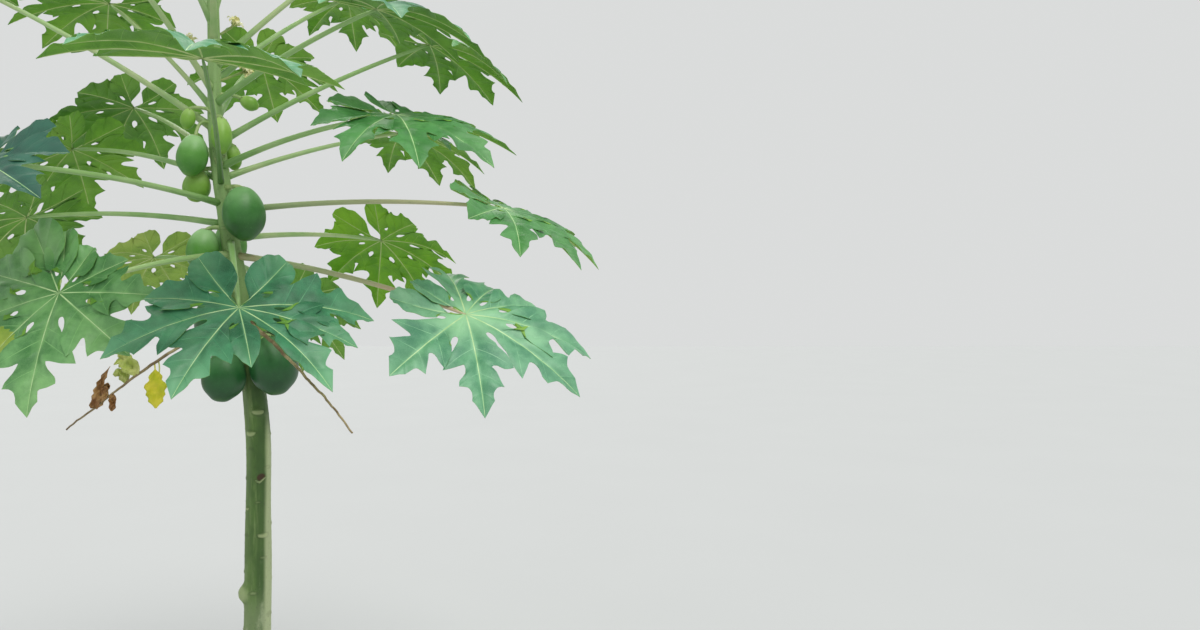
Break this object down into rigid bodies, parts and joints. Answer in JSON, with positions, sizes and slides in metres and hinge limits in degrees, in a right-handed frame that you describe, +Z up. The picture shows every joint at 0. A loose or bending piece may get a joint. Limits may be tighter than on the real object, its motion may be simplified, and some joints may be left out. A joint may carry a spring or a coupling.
{
  "type": "papaya tree",
  "caption": "Young fruiting papaya tree: one bare leaning stem, green fruit hanging in the old leaf scars, and a crown of long-stalked lobed leaves.",
  "frame": {"origin": "centre of the flat cut under the trunk, at ground level", "axes": "+Z up the tree; -Y towards the side the picture was taken from; +X to the right as seen from there, away from the trunk's lean"},
  "size_m": [1.9306, 1.8549, 2.8229],
  "materials": {
    "trunk_bark": "smooth green bark, matt, with pale patches and leaf scars",
    "leaf": "soft satin leaf, blue-green above and yellow-green below",
    "fruit_skin": "smooth unripe skin with a low gloss",
    "flower": "waxy pale petals",
    "dry_stalk": "dry, matt"
  },
  "bodies": {
    "root": {"trunk": "trunk_bark", "leaf_01": "leaf", "leaf_02": "leaf", "leaf_03": "leaf", "leaf_04": "leaf", "leaf_05": "leaf", "leaf_06": "leaf", "leaf_07": "leaf", "leaf_08": "leaf", "leaf_09": "leaf", "leaf_10": "leaf", "leaf_11": "leaf", "leaf_12": "leaf", "leaf_13": "leaf", "leaf_14": "leaf", "leaf_15": "leaf", "leaf_16": "leaf", "leaf_17": "leaf", "leaf_18": "leaf", "leaf_19": "leaf", "leaf_20": "leaf", "leaf_21": "leaf", "leaf_22": "leaf", "leaf_23": "leaf", "leaf_24": "leaf", "leaf_25": "leaf", "leaf_26": "leaf", "leaf_27": "leaf", "leaf_28": "leaf", "fruit_01": "fruit_skin", "fruit_02": "fruit_skin", "fruit_03": "fruit_skin", "fruit_04": "fruit_skin", "fruit_05": "fruit_skin", "fruit_06": "fruit_skin", "fruit_07": "fruit_skin", "fruit_08": "fruit_skin", "fruit_09": "fruit_skin", "fruit_10": "fruit_skin", "fruit_11": "fruit_skin", "fruit_12": "fruit_skin", "fruit_13": "fruit_skin", "fruit_14": "fruit_skin", "fruit_15": "fruit_skin", "fruit_16": "fruit_skin", "flower_01": "flower", "flower_02": "flower", "flower_03": "flower", "dry_stalk_01": "dry_stalk", "dry_stalk_02": "dry_stalk"}
  },
  "joints": []
}
